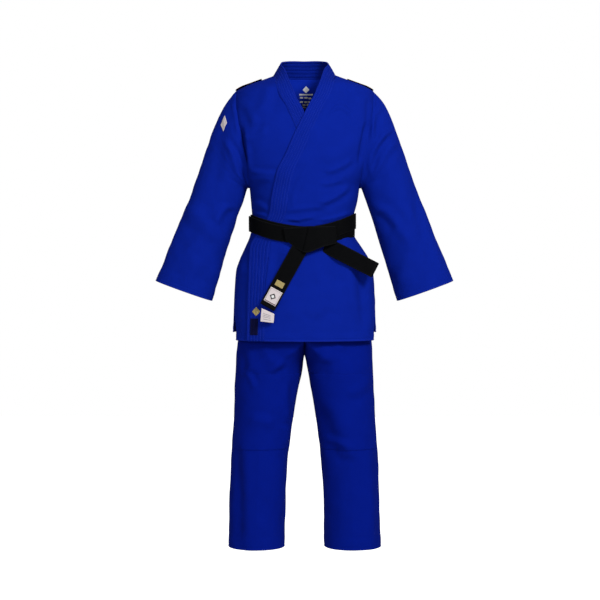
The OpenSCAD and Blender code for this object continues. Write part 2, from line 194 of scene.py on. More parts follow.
def spline(xs, ys):
    """Monotone cubic through (xs, ys); xs rise. Works on arrays."""
    xs, ys = np.asarray(xs, float), np.asarray(ys, float)
    step = np.diff(xs)
    rise = np.diff(ys) / step
    slope = np.empty_like(ys)
    slope[0], slope[-1] = rise[0], rise[-1]
    product = rise[:-1] * rise[1:]
    total = rise[:-1] + rise[1:]
    slope[1:-1] = np.where(product > 0, 2 * product / np.where(total == 0, 1, total), 0)

    def value(x):
        x = np.clip(np.asarray(x, float), xs[0], xs[-1])
        i = np.clip(np.searchsorted(xs, x) - 1, 0, len(xs) - 2)
        t = (x - xs[i]) / step[i]
        return hermite(t, ys[i], step[i] * slope[i], ys[i + 1], step[i] * slope[i + 1])
    return value


def column(table, k):
    """A falling table's column k as a function of z."""
    inner = spline(-table[:, 0], table[:, k])
    return lambda z: inner(-np.asarray(z, float))


def smooth(t):
    """0 below 0, 1 above 1, and a soft step between them."""
    t = np.clip(t, 0, 1)
    return t * t * (3 - 2 * t)


def turn(t):
    """Cosine and sine of t degrees."""
    t = np.radians(t)
    return np.cos(t), np.sin(t)


def all_round(cols):
    """Angles of a closed ring, in degrees."""
    return np.arange(cols) * 360 / cols


def grids(*fields):
    """The fields as numbers of one common shape."""
    return np.broadcast_arrays(*[np.asarray(field, float) for field in fields])


TORSO_F = [None] + [column(TORSO, k) for k in range(1, 7)]
FREE_X = column(LAPEL_FREE, 1)
SEWN_X = column(LAPEL_SEWN, 1)
HIP_F = [None] + [column(HIPS, k) for k in range(1, 3)]
LEG_F = [None] + [column(LEG, k) for k in range(1, 4)]


def waist_shift(z):
    """The tied waist sits a little towards the wearer's right."""
    return -8.0 * np.exp(-((z - WAIST_Z) / 55) ** 2)


def torso_point(z, t, off):
    """Points of the torso in mm at height z and angle t in degrees (0 = +X, 90 = back, 270 = front)."""
    z, t, off = grids(z, t, off)
    c, s = turn(t)
    reach = np.abs(s) ** ROUNDNESS
    half, front_edge, front, back_edge, back, lift = [TORSO_F[k](z) for k in range(1, 7)]
    y = np.where(s >= 0, back_edge + (back + off - back_edge) * reach,
                 front_edge + (front - off - front_edge) * reach)
    return np.stack([(half + off) * c + waist_shift(z), y, z + off * lift * np.abs(c)], -1)


def front_angle(z, x):
    return 360 - np.degrees(np.arccos(np.clip((x - waist_shift(z)) / TORSO_F[1](z), -1, 1)))


def ripple(u, v, size, seed):
    """Smooth deterministic unevenness of about unit height; u, v and size in mm."""
    rng = np.random.RandomState(seed)
    total = np.zeros(np.broadcast(u, v).shape)
    for _ in range(9):
        way = rng.uniform(0, 2 * math.pi)
        k = 2 * math.pi / (size * rng.uniform(0.6, 1.7))
        total += np.sin(k * (u * math.cos(way) + v * math.sin(way)) + rng.uniform(0, 2 * math.pi))
    return total / 3.0


def crease(u, v, a, b, depth, width, bow=0.0, fade=0.35):
    """A fold from point a to point b: a ridge of the given depth with a softer valley beside it, in mm."""
    a, b = np.array(a, float), np.array(b, float)
    d = b - a
    length = np.linalg.norm(d)
    d = d / length
    along = ((u - a[0]) * d[0] + (v - a[1]) * d[1]) / length
    across = (u - a[0]) * -d[1] + (v - a[1]) * d[0]
    across = across - bow * 4 * along * (1 - along)
    ends = smooth((along + fade * 0.4) / fade) * smooth((1 + fade * 0.4 - along) / fade)
    w = across / width
    return depth * ends * (np.exp(-w * w) - 0.55 * np.exp(-(w - 1.7) ** 2))


def both_edges(k, width):
    """1 at both ends of k = 0..1, fading over the given share of it."""
    return np.exp(-(k / width) ** 2) + np.exp(-((1 - k) / width) ** 2)


def groove(x, places, width):
    """Unit grooves at the given places of coordinate x."""
    total = np.zeros(np.shape(x))
    for p in places:
        total = total + np.exp(-((x - p) / width) ** 2)
    return total


def normals(grid, closed):
    if closed:
        dc = np.roll(grid, -1, 1) - np.roll(grid, 1, 1)
    else:
        dc = np.gradient(grid, axis=1)
    dr = np.gradient(grid, axis=0)
    n = np.cross(dr, dc)
    return n / np.maximum(np.linalg.norm(n, axis=-1, keepdims=True), 1e-9)


# ---- cloth as a closed double-sided mesh
FACES = {}                 # outer grid of each piece, for what is sewn on it
RIM_WEAR = 0.6             # how worn the edges of every piece are
RIM_REACH = 1.4            # most that a rounded rim stands out past its edge, mm


def smooth_piece(mesh, material):
    mesh.polygons.foreach_set("use_smooth", [True] * len(mesh.polygons))
    mesh.update()
    mesh.materials.append(material)
    return placed(mesh.name, mesh)


def around(index):
    """The border of a grid of indices, once round."""
    return np.concatenate([index[0, :-1], index[:-1, -1], index[-1, :0:-1], index[:0:-1, 0]])


def cloth(name, base, thick, material, relief=0, fold=0, closed=False, wear=0, inside=0):
    """Turns a grid of inner points (rows fall, columns turn anticlockwise, mm) into a piece of cloth.
    fold moves the whole thickness, relief only the outer face and inside only the inner one."""
    rows, cols = base.shape[:2]
    n = normals(base, closed)
    fold, relief, inside, wear, _ = grids(fold, relief, inside, wear, base[..., 0])
    inner = base + n * (fold - inside)[..., None]
    outer = base + n * (fold + thick + relief)[..., None]
    FACES[name] = outer
    seg_c = np.linalg.norm(np.diff(base, axis=1), axis=-1)
    seg_r = np.linalg.norm(np.diff(base, axis=0), axis=-1)
    u = np.concatenate([np.zeros((rows, 1)), np.cumsum(seg_c, 1)], 1)
    u = u - u[:, cols // 2][:, None]
    v = np.concatenate([np.zeros((1, cols)), np.cumsum(seg_r, 0)], 0)

    index = np.arange(rows * cols).reshape(rows, cols)
    half = rows * cols
    a, d = index[:-1], index[1:]
    if closed:
        b, c = np.roll(a, -1, 1), np.roll(d, -1, 1)
    else:
        a, b, c, d = index[:-1, :-1], index[:-1, 1:], index[1:, 1:], index[1:, :-1]
    quads = [np.stack([a, d, c, b], -1).reshape(-1, 4), np.stack([a, b, c, d], -1).reshape(-1, 4) + half]

    points = [outer.reshape(-1, 3), inner.reshape(-1, 3)]
    marks = np.stack([u, v, wear], -1).reshape(-1, 3)
    all_marks = [marks, marks]
    # rounded rim: one loop of points pushed out past each edge, away from the grid's next line inward
    if closed:
        loops = [(index[0], index[1]), (index[-1][::-1], index[-2][::-1])]
    else:
        row, col = np.clip(np.arange(rows), 1, rows - 2), np.clip(np.arange(cols), 1, cols - 2)
        loops = [(around(index), around(index[row][:, col]))]
    flat_out, flat_in = outer.reshape(-1, 3), inner.reshape(-1, 3)
    count = 2 * half
    for edge, inward in loops:
        middle = (flat_out[edge] + flat_in[edge]) / 2
        away = middle - (flat_out[inward] + flat_in[inward]) / 2
        away = away / np.maximum(np.linalg.norm(away, axis=-1, keepdims=True), 1e-9)
        points.append(middle + away * min(thick * 0.4, RIM_REACH))
        all_marks.append(np.maximum(marks[edge], [-np.inf, -np.inf, RIM_WEAR]))
        m = count + np.arange(len(edge))
        count += len(edge)
        e2, m2 = np.roll(edge, -1), np.roll(m, -1)
        quads.append(np.stack([edge, e2, m2, m], -1))
        quads.append(np.stack([m, m2, e2 + half, edge + half], -1))

    points = np.concatenate(points) * MM
    faces = np.concatenate(quads)
    mesh = bpy.data.meshes.new(name)
    mesh.from_pydata(points.tolist(), [], faces.tolist())
    marks = np.concatenate(all_marks)
    place = mesh.attributes.new("cloth_uv", "FLOAT_VECTOR", "POINT")
    place.data.foreach_set("vector", (marks * [MM, MM, 0]).astype(np.float32).ravel())
    worn = mesh.attributes.new("wear", "FLOAT", "POINT")
    worn.data.foreach_set("value", marks[:, 2].astype(np.float32))
    return smooth_piece(mesh, material)


def between(at, marks, values):
    """Rows of values, which stand at the given marks, read at the places between them."""
    return np.stack([np.interp(at, marks, values[:, k]) for k in range(values.shape[1])], -1)


def stitches(name, paths, material, length, gap, radius, lift):
    """Thread along paths: each path is (points, normals) in mm; one small lozenge-ended bead per stitch."""
    points, faces = [], []
    ring = 6
    stations = [(-0.5, 0.25), (-0.36, 0.9), (0, 1.1), (0.36, 0.9), (0.5, 0.25)]
    angles = np.arange(ring) * 2 * math.pi / ring
    for line, norm in paths:
        seg = np.linalg.norm(np.diff(line, axis=0), axis=1)
        dist = np.concatenate([[0], np.cumsum(seg)])
        mids = np.arange(length / 2, dist[-1] - length / 2, length + gap)
        if len(mids) == 0:
            continue
        pos, n = between(mids, dist, line), between(mids, dist, norm)
        t = between(mids + 1, dist, line) - between(mids - 1, dist, line)
        t = t / np.maximum(np.linalg.norm(t, axis=1, keepdims=True), 1e-9)
        n = n - t * np.sum(n * t, 1, keepdims=True)
        n = n / np.maximum(np.linalg.norm(n, axis=1, keepdims=True), 1e-9)
        side = np.cross(t, n)
        for i in range(len(mids)):
            first = len(points)
            for along, fat in stations:
                centre = pos[i] + t[i] * along * length + n[i] * (lift if abs(along) < 0.4 else lift - 0.35)
                for angle in angles:
                    spoke = math.cos(angle) * side[i] + 0.8 * math.sin(angle) * n[i]
                    points.append(centre + radius * fat * spoke)
            for s in range(len(stations) - 1):
                for k in range(ring):
                    k2 = (k + 1) % ring
                    faces.append((first + s * ring + k, first + (s + 1) * ring + k,
                                  first + (s + 1) * ring + k2, first + s * ring + k2))
            faces.append(tuple(first + k for k in range(ring)))
            faces.append(tuple(first + (len(stations) - 1) * ring + k for k in range(ring))[::-1])
    mesh = bpy.data.meshes.new(name)
    mesh.from_pydata((np.array(points) * MM).tolist(), [], faces)
    return smooth_piece(mesh, material)


# ---- materials
class Nodes:
    """Short calls for building one material's node tree."""

    def __init__(self, name):
        self.material = bpy.data.materials.new(name)
        self.material.use_nodes = True
        self.tree = self.material.node_tree
        self.shader = self.tree.nodes["Principled BSDF"]

    def link(self, value, socket):
        if hasattr(value, "is_output"):
            self.tree.links.new(value, socket)
        else:
            socket.default_value = value

    def math(self, operation, a, b=0.0):
        node = self.tree.nodes.new("ShaderNodeMath")
        node.operation = operation
        self.link(a, node.inputs[0])
        self.link(b, node.inputs[1])
        return node.outputs[0]

    def hump(self, value):
        """0 at each whole number, 1 half-way between them."""
        return self.math("ABSOLUTE", self.math("SINE", self.math("MULTIPLY", value, math.pi)))

    def attribute(self, name, output="Vector"):
        node = self.tree.nodes.new("ShaderNodeAttribute")
        node.attribute_name = name
        return node.outputs[output]

    def split(self, vector):
        node = self.tree.nodes.new("ShaderNodeSeparateXYZ")
        self.link(vector, node.inputs[0])
        return node.outputs[0], node.outputs[1]

    def noise(self, vector, scale, detail=2.0):
        node = self.tree.nodes.new("ShaderNodeTexNoise")
        self.link(vector, node.inputs["Vector"])
        node.inputs["Scale"].default_value = scale
        node.inputs["Detail"].default_value = detail
        return node.outputs["Fac"]

    def mix(self, factor, a, b):
        node = self.tree.nodes.new("ShaderNodeMix")
        node.data_type = "RGBA"
        self.link(factor, node.inputs["Factor"])
        self.link(a, node.inputs["A"])
        self.link(b, node.inputs["B"])
        return node.outputs["Result"]

    def bump(self, height, strength, distance, after=None):
        node = self.tree.nodes.new("ShaderNodeBump")
        node.inputs["Strength"].default_value = strength
        node.inputs["Distance"].default_value = distance
        self.link(height, node.inputs["Height"])
        if after is not None:
            self.link(after, node.inputs["Normal"])
        return node.outputs["Normal"]

    def ramp(self, value, low, high):
        node = self.tree.nodes.new("ShaderNodeMapRange")
        self.link(value, node.inputs["Value"])
        node.inputs["To Min"].default_value = low
        node.inputs["To Max"].default_value = high
        return node.outputs["Result"]


GRAIN = 0.6                # below 1 makes the grains of the rice weave fuller


def shade(colour, k):
    return tuple(min(1.0, c * k) for c in colour) + (1.0,)


def weave_height(n, u, v, kind, pitch):
    """Height of one weave, 0 to 1, from cloth coordinates in metres."""
    a, b = n.math("DIVIDE", u, pitch[0]), n.math("DIVIDE", v, pitch[1])
    if kind == "twill":
        return n.hump(n.math("ADD", a, b))
    # rice grain: rows of long grains, each row shifted by half a grain
    shift = n.math("MULTIPLY", n.math("MODULO", n.math("FLOOR", b), 2.0), 0.5)
    along = n.hump(n.math("ADD", a, shift))
    return n.math("MULTIPLY", n.math("POWER", along, GRAIN), n.math("POWER", n.hump(b), GRAIN))


def fabric(name, colour, kind="rice", pitch=(0.0036, 0.0019), depth=0.0005, specular=0.02,
           rough=(0.82, 0.96), mottled=0.12, sheen=0.0):
    n = Nodes(name)
    uv = n.attribute("cloth_uv")
    u, v = n.split(uv)
    height = weave_height(n, u, v, kind, pitch)
    fibre = n.noise(uv, 1400, 2)
    patches = n.noise(uv, 14, 3)
    fine = n.noise(uv, 160, 2)
    tone = n.mix(patches, shade(colour, 1 - mottled), shade(colour, 1 + mottled))
    # painted shade: where the weave is low, between its grains, the colour is mixed towards a darker copy of
    # itself
    tone = n.mix(n.math("MULTIPLY", n.math("SUBTRACT", 1.0, height), 0.35), tone, shade(colour, 0.62))
    tone = n.mix(n.math("MULTIPLY", fine, 0.16), tone, shade(colour, 1.35))
    worn = n.math("MULTIPLY", n.attribute("wear", "Fac"), n.ramp(fine, 0.25, 0.6))
    tone = n.mix(worn, tone, shade(tuple(c + 0.006 for c in colour), 1.45))
    n.link(tone, n.shader.inputs["Base Color"])
    n.link(n.ramp(n.noise(uv, 60, 2), rough[0], rough[1]), n.shader.inputs["Roughness"])
    n.shader.inputs["Specular IOR Level"].default_value = specular
    n.shader.inputs["Sheen Weight"].default_value = sheen
    threads = n.bump(height, 0.75, depth)
    n.link(n.bump(fibre, 0.25, 0.0003, threads), n.shader.inputs["Normal"])
    return n.material


def thread(name, colour):
    n = Nodes(name)
    place = n.tree.nodes.new("ShaderNodeTexCoord").outputs["Object"]
    twist = n.noise(place, 900, 1)
    n.link(n.mix(twist, shade(colour, 0.75), shade(colour, 1.25)), n.shader.inputs["Base Color"])
    n.link(n.ramp(twist, 0.55, 0.75), n.shader.inputs["Roughness"])
    n.shader.inputs["Specular IOR Level"].default_value = 0.1
    n.link(n.bump(twist, 0.4, 0.0002), n.shader.inputs["Normal"])
    return n.material


BLUE = (0.0012, 0.0085, 0.158)
TROUSER_BLUE = (0.0004, 0.0052, 0.127)
BLACK = (0.0009, 0.001, 0.0013)
JACKET_CLOTH = fabric("jacket_rice_weave", BLUE)
# painted light: the neck lining is a 1.5 times lighter copy of the jacket blue, so the inside of the neck,
# which the collar shades, looks lit
LINING_CLOTH_WITH_PAINTED_LIGHT = fabric("neck_lining_twill", tuple(min(1.0, 1.5 * c) for c in BLUE))
LAPEL_CLOTH = fabric("lapel_twill", tuple(c * 0.96 for c in BLUE), "twill", (0.0016, 0.0016), 0.0003)
TROUSER_CLOTH = fabric("trouser_twill", TROUSER_BLUE, "twill", (0.0022, 0.0022), 0.0003)
BELT_CLOTH = fabric("belt_twill", BLACK, "twill", (0.0013, 0.0013), 0.0002, 0.026, (0.65, 0.85), 0.2)
EYELET_METAL = thread("brushed_eyelet_metal", (0.32, 0.32, 0.33))
EYELET_METAL.node_tree.nodes["Principled BSDF"].inputs["Metallic"].default_value = 1.0
CORD_CLOTH = thread("waistband_loop_cloth", TROUSER_BLUE)
LABEL_CLOTH = fabric("label_satin", (0.36, 0.32, 0.325), "twill", (0.0006, 0.0006), 0.0001, 0.2,
                     (0.5, 0.65), 0.05)
DARK_LABEL = fabric("dark_woven_label", (0.0015, 0.002, 0.02), "twill", (0.0007, 0.0007), 0.0001, 0.03,
                    (0.7, 0.85), 0.2)
GOLD_THREAD = fabric("gold_embroidery", (0.22, 0.17, 0.06), "twill", (0.0008, 0.0016), 0.0003, 0.3,
                     (0.4, 0.6), 0.2)
BLUE_THREAD = thread("blue_thread", (0.007, 0.02, 0.23))
BLACK_THREAD = thread("black_thread", (0.006, 0.006, 0.008))
ROSE_THREAD = thread("rose_thread", (0.3, 0.12, 0.14))
GREY_THREAD = thread("grey_thread", (0.12, 0.12, 0.14))
MAROON_THREAD = thread("maroon_thread", (0.035, 0.006, 0.012))
WHITE_THREAD = thread("white_thread", (0.42, 0.42, 0.42))


# ---- folds, in mm: (from, to, depth, width, bow)
FOLD_DEPTH = 1.7
FRONT_FOLDS = [
    ((130, -205), (58, -240), 2.6, 9, 5), ((120, -280), (40, -328), 3.0, 9, 6),
    ((70, -76), (128, -84), 2.6, 8, 20), ((140, -150), (60, -205), 1.6, 18, 8),
    ((102, -262), (44, -274), 1.6, 7, 3), ((60, -338), (-60, -350), 1.2, 7, -3),
    ((20, -366), (-40, -372), 1.6, 5, 2), ((120, -352), (40, -376), 1.8, 5, 3),
    ((90, -372), (30, -386), 1.6, 4, 2), ((-10, -378), (-52, -372), 1.4, 4, -2),
    ((104, 0), (128, -66), -2.4, 15, 0), ((36, -120), (-10, -230), 1.4, 20, 6),
    ((172, -108), (154, -216), -5.2, 8, 0), ((176, -40), (172, -120), -2.0, 8, 0),
    ((0, -240), (-34, -330), 1.2, 7, -6)]
UNDER_FOLDS = [
    ((-100, 0), (-126, -80), 2.6, 17, 4), ((-160, -150), (-104, -122), 2.2, 12, -5),
    ((-146, -236), (-84, -244), 2.0, 7, -3), ((-150, -262), (-92, -258), 1.2, 8, 4),
    ((-128, -60), (-152, -150), 1.2, 12, -6), ((-146, -322), (-100, -346), 1.6, 8, 3),
    ((-177, -118), (-164, -238), -5.2, 8, 0), ((-178, -60), (-150, -120), -1.8, 12, 0),
    ((-140, -352), (-92, -368), 1.4, 5, 2)]
SKIRT_FOLDS = [
    ((-120, -440), (-150, -560), 3.2, 13, 5), ((-96, -440), (-118, -600), 2.2, 12, 4),
    ((118, -450), (140, -640), 3.0, 18, -5), ((150, -470), (160, -690), -2.6, 13, 4),
    ((30, -450), (60, -560), 2.5, 22, -8), ((-40, -450), (-70, -560), 2.0, 18, 6),
    ((60, -600), (10, -640), 1.8, 18, 4)]
BACK_FOLDS = [
    ((-110, -60), (-40, -150), 4.0, 18, 8), ((110, -70), (46, -160), 4.5, 18, -8),
    ((-150, -200), (-50, -262), 4.5, 14, -6), ((150, -215), (60, -282), 4.5, 15, 6),
    ((-120, -300), (-30, -338), 4.0, 10, 4), ((128, -318), (20, -345), 3.6, 9, -4),
    ((-60, -352), (70, -356), 3.0, 6, 3), ((-110, -460), (-150, -640), 3.6, 18, 5),
    ((-30, -455), (-52, -620), 3.0, 16, -6), ((46, -455), (70, -640), 3.6, 18, 6),
    ((120, -455), (160, -600), 3.0, 16, -5), ((0, -100), (10, -250), 2.0, 26, 6)]
LEFT_SLEEVE_FOLDS = [
    ((192, -30), (188, -130), 3.4, 8, -4), ((210, -50), (190, -150), 2.6, 9, -8),
    ((238, -120), (182, -230), 4.2, 9, -14), ((254, -150), (196, -256), 2.4, 12, -8),
    ((312, -290), (366, -556), -2.4, 15, -4), ((190, -322), (300, -448), 2.6, 14, 8),
    ((206, -352), (250, -404), -2.8, 15, 4), ((280, -330), (296, -430), 2.5, 20, 4),
    ((268, -560), (300, -470), 2.4, 16, 5)]
RIGHT_SLEEVE_FOLDS = [
    ((-198, -44), (-186, -130), 3.0, 8, 4), ((-222, -150), (-188, -270), 3.4, 10, 8),
    ((-206, -170), (-178, -262), 2.6, 8, 4), ((-240, -100), (-256, -286), -2.6, 18, 8),
    ((-262, -330), (-362, -450), -2.6, 18, 8), ((-230, -430), (-330, -330), 2.6, 20, 4),
    ((-214, -330), (-250, -380), 3.6, 12, -6), ((-300, -480), (-344, -560), 2.2, 18, 4)]
LEG_FOLDS = [
    ((61, -722), (22, -800), 4.0, 15, 5), ((100, -716), (60, -770), 2.5, 16, 4),
    ((30, -892), (92, -1045), -4.0, 24, 5), ((182, -820), (120, -860), 2.5, 16, 5),
    ((92, -1046), (140, -1052), -1.4, 12, 3), ((60, -990), (130, -1012), 2.4, 11, 4),
    ((178, -1040), (186, -1280), 2.4, 14, 3), ((100, -1090), (104, -1270), 1.8, 22, 5)]
OTHER_LEG_FOLDS = [
    ((-114, -730), (-66, -786), 2.4, 15, -5), ((-60, -766), (-100, -796), 2.6, 10, 3),
    ((-162, -800), (-140, -842), 2.0, 8, 4), ((-54, -826), (-50, -940), 3.0, 11, -4),
    ((-60, -950), (-46, -1000), 3.0, 10, 4), ((-150, -930), (-90, -948), 2.2, 14, 5),
    ((-190, -1005), (-184, -1290), -3.6, 15, 3), ((-176, -738), (-170, -800), -2.2, 12, 2)]


def folds(x, z, rows):
    total = np.zeros(np.broadcast(x, z).shape)
    for a, b, depth, width, bow in rows:
        total = total + crease(x, z, a, b, depth * FOLD_DEPTH, width, bow)
    return total


# ---- jacket body and skirt
def falling(*stops):
    """Levels that fall through (z, step) stops."""
    levels = []
    for (z0, step), (z1, _) in zip(stops, stops[1:]):
        count = max(1, int(round(abs(z1 - z0) / step)))
        levels += list(np.linspace(z0, z1, count, endpoint=False))
    return np.array(levels + [stops[-1][0]])


# How far each front panel stands out from the torso's shape, mm at angle t
def over_off(t):
    return 1.5 + 4.6 * smooth((352 - t) / 42)


def under_off(t):
    return 1.5 * smooth((206 - t) / 24)


def vent_angle(z):
    """How far the front skirt's side edge stands forward of the side, in degrees."""
    return 18 * smooth((VENT_TOP - z) / (VENT_TOP - FRONT_HEM) * 0.9)


def hem_relief(z, hem):
    """Turned-up hem: a doubled band, with two rows of stitching sunk into it."""
    up = z - hem
    return 0.9 * (1 - smooth((up - 21) / 3)) - 0.7 * groove(up, [5.5, 19.5], 1.5)


def angle_grid(low, high, cols):
    """Angles from low to high, one pair for each row."""
    return low[:, None] + (high - low)[:, None] * np.linspace(0, 1, cols)[None, :]


def edge_wear(z, hem):
    return 0.5 * np.exp(-((z - hem) / 2.2) ** 2)


UNDER_BAND = 2.2           # degrees by which a front panel reaches in under its lapel
PANEL_MM = 3.2             # mm for each degree near a panel's side edge
SIDE_SEWING = [6, 20]      # rows of stitching along a vent's edge, mm from it


def side_seams(from_side, from_vent, z):
    """Relief of the side: two sewn rows along the open vent, and one seam with its ridge above it."""
    vent_rows = groove(from_vent, SIDE_SEWING, 1.5) * smooth((VENT_TOP - z) / 12)
    ridge = (1 - smooth((from_side - 9) / 3)) * smooth((z - VENT_TOP) / 10)
    return 0.3 * ridge - 0.6 * vent_rows


def front_panel(name, side, rows):
    """One front panel with its part of the skirt, from the shoulder to the hem."""
    zs = falling((30, 1.6), (-14, 4.2), (-320, 3.0), (-470, 4.2), (-680, 1.5), (FRONT_HEM, 1))
    if side == "over":
        t = angle_grid(front_angle(zs, SEWN_X(zs)) - UNDER_BAND, 360 - vent_angle(zs), 108)
        off = over_off(t)
    else:
        t = angle_grid(180 + vent_angle(zs), front_angle(zs, -SEWN_X(zs)) + UNDER_BAND, 96)
        off = under_off(t)
    z = np.broadcast_to(zs[:, None], t.shape)
    base = torso_point(z, t, off)
    x = base[..., 0]
    edge = np.abs(t - (360 if side == "over" else 180))
    calm = smooth(edge / 9) * smooth((30 - z) / 24)
    seam = edge * PANEL_MM
    side_edge = (edge - vent_angle(z)) * PANEL_MM
    relief = hem_relief(z, FRONT_HEM) + side_seams(seam, side_edge, z)
    relief = relief - 0.5 * groove(seam, [8], 1.3) * smooth((z - VENT_TOP) / 10)
    fold = (folds(x, z, rows) + 0.9 * ripple(x, z, 120, 3) + 0.35 * ripple(x, z, 45, 5)) * calm
    wear = np.maximum(edge_wear(z, FRONT_HEM), 0.35 * np.exp(-(side_edge / 3) ** 2))
    return cloth(name, base, CLOTH_T, JACKET_CLOTH, relief, fold, wear=wear)


YOKE_Z = -128.0            # lower edge of the yoke


def back_panel():
    """Yoke, back and the skirt behind."""
    zs = falling((35, 1.6), (-14, 4.2), (-320, 3.0), (-470, 4.2), (-660, 1.5), (BACK_HEM, 1))
    t = angle_grid(np.zeros_like(zs), np.full_like(zs, 180), 190)
    z = np.broadcast_to(zs[:, None], t.shape)
    base = torso_point(z, t, 1.5)
    x = base[..., 0]
    edge = np.minimum(t, 180 - t)
    calm = smooth(edge / 9) * smooth((34 - z) / 24)
    relief = hem_relief(z, BACK_HEM) + side_seams(edge * PANEL_MM, edge * PANEL_MM, z)
    # lower edge of the yoke and the centre seam
    relief = relief + 1.1 * smooth((z - YOKE_Z) / 2) - 0.6 * groove(z, [YOKE_Z + 4, YOKE_Z + 10], 1.4)
    relief = relief - 0.6 * groove(x, [-5, 5], 1.3) * smooth((YOKE_Z - z) / 4)
    fold = (folds(x, z, BACK_FOLDS) + 1.0 * ripple(x, z, 130, 8) + 0.4 * ripple(x, z, 50, 9)) * calm
    return cloth("jacket_back", base, CLOTH_T, JACKET_CLOTH, relief, fold, wear=edge_wear(z, BACK_HEM))


# ---- collar and lapel band
BAND_ROWS = (0.10, 0.26, 0.42, 0.58, 0.74, 0.90)     # rows of stitching, as shares of the band's width


def through(points, samples):
    """Smooth curve through a list of points, or of pairs of points, resampled evenly."""
    p = np.array(points, float)
    slope = np.gradient(p, axis=0)
    fine = [hermite(t, p[i], slope[i], p[i + 1], slope[i + 1])
            for i in range(len(p) - 1) for t in np.linspace(0, 1, 24, endpoint=False)]
    fine.append(p[-1])
    flat = np.reshape(fine, (len(fine), -1))
    dist = np.concatenate([[0], np.cumsum(np.linalg.norm(np.diff(flat, axis=0), axis=1))])
    at = np.linspace(0, dist[-1], samples)
    return between(at, dist, flat).reshape((samples,) + p.shape[1:])


def lapel_stations(side, levels, off):
    """(free edge, sewn edge) of one lapel at each level, off mm out from the torso."""
    pairs = []
    for z in levels:
        free = torso_point(z, front_angle(z, side * FREE_X(z)), off)
        sewn = torso_point(z, front_angle(z, side * SEWN_X(z)), off)
        pairs.append([free, sewn])
    return pairs


OVERLAP = 4.0              # how far the left lapel stands in front of the right one at the neck
OVER_OUT = 5.9             # how far each lapel stands out from the torso's shape
UNDER_OUT = 0.4
BAND_STEPS = 520           # points along the band, and the mm between them
BAND_STEP = 3.1
BAND_WIDE = 46


def collar_band():
    """One band: up the left lapel, round the neck and down the right lapel, with its rows of stitching."""
    over = lapel_stations(1, np.concatenate([np.arange(FRONT_HEM, -20, 22), [-12, 8]]), OVER_OUT)
    under = lapel_stations(-1, np.concatenate([[8, -12], np.arange(-34, -440, -24)]), UNDER_OUT)
    # the wearer's left half lies over the right one, so its foot stands a little further forward
    half = np.array(COLLAR_HALF, float)
    forward = np.array([[[0, -OVERLAP * (1 - k / 7), 0]] for k in range(8)])
    left_half = list(half + forward)
    right_half = list(half[-2::-1] * [-1, 1, 1])
    stations = through(over + left_half[1:] + right_half[:-1] + under, BAND_STEPS)
    last_row = 45
    k = np.linspace(0, 1, last_row + 1)
    free, sewn = stations[:, 0], stations[:, 1]
    # rows fall from the free edge to the sewn edge, columns run over the neck
    base = free[None] + (sewn - free)[None] * k[:, None, None]
    n = normals(base, False)
    bulge = 1.8 * 4 * k * (1 - k)
    base = base + n * bulge[:, None, None]
    quilt = -0.95 * groove(k, BAND_ROWS, 0.022)[:, None]
    along = np.arange(BAND_STEPS)[None] * BAND_STEP
    fold = 0.5 * ripple(along, k[:, None] * BAND_WIDE, 90, 21)
    wear = 0.45 * both_edges(k, 0.03)[:, None]
    # the band thins out towards the seam that joins it to the panels
    outside = quilt - (LAPEL_T - 0.8) * smooth((k - 0.91) / 0.09)[:, None]
    piece = cloth("collar_and_lapels", base, LAPEL_T, LAPEL_CLOTH, outside, fold, wear=wear,
                  inside=1.2 * quilt)
    lines = []
    for share in BAND_ROWS:
        r = int(round(share * last_row))
        lines.append((base[r] + n[r] * (LAPEL_T - 0.5 + fold[r][:, None]), n[r]))
    sewing = stitches("lapel_stitching", lines, BLUE_THREAD, length=3.2, gap=1.5, radius=0.4, lift=0.15)
    return piece, sewing


# ---- sleeves
ARM_DIR = np.array([math.sin(SLEEVE_TILT), 0, -math.cos(SLEEVE_TILT)])
ARM_OUT = np.array([math.cos(SLEEVE_TILT), 0, math.sin(SLEEVE_TILT)])
HEAD_LEAVES = np.array([0.80, 0, -0.60])    # way in which the sleeve head leaves the armhole


def armhole(t):
    """Ring where the sleeve leaves the body."""
    c, s = turn(t)
    z = -145 + (131 + 7 * np.clip(c, 0, 1) ** 3) * c
    x = TORSO_F[1](z) - 1.0
    return np.stack([x, 5 + (74 - 2 * c) * np.sign(s) * np.abs(s) ** 0.92, z], -1)


def sleeve_ring(v, t):
    """Ring at share v of the way from the head's lower end to the cuff."""
    k = np.array([0, 0.21, 0.425, 0.72, 1.0])
    x, z, half, deep = [spline(k, SLEEVE[:, j])(v) for j in range(4)]
    c, s = turn(t)
    return np.stack([x + half * c * ARM_OUT[0], 4 + deep * s, z + half * c * ARM_OUT[2]], -1)


def sleeve_grid():
    """Left sleeve: its rows, their shares (-1 armhole, 0 end of the head, 1 cuff) and angles."""
    cols = 112
    t = all_round(cols)
    first = armhole(t)
    last = sleeve_ring(0.0, t)
    gap = np.linalg.norm(last - first, axis=-1, keepdims=True)
    leave = HEAD_LEAVES * gap * 0.78
    arrive = ARM_DIR * gap
    head = np.linspace(0, 1, 66)[:-1]
    tube = np.concatenate([np.linspace(0, 0.86, 74), np.linspace(0.86, 1, 30)[1:]])
    rows = [hermite(v, first, leave, last, arrive) for v in head] + [sleeve_ring(v, t) for v in tube]
    share = np.concatenate([np.linspace(-1, 0, 66)[:-1], tube])
    return np.array(rows), share[:, None], np.broadcast_to(t, (len(rows), cols))


TUBE_LENGTH = 336.0        # sleeve from the end of its head to the cuff
HEAD_LENGTH = 230.0        # sleeve head along the arm
SLEEVE_ROUND = 420.0       # once round the sleeve


def mirrored(side, base, *fields):
    """A left piece's grid and fields, turned into the right piece's when side is -1."""
    base = base * [side, 1, 1]
    return [grid[:, ::-1] if side < 0 else grid for grid in (base, *fields)]


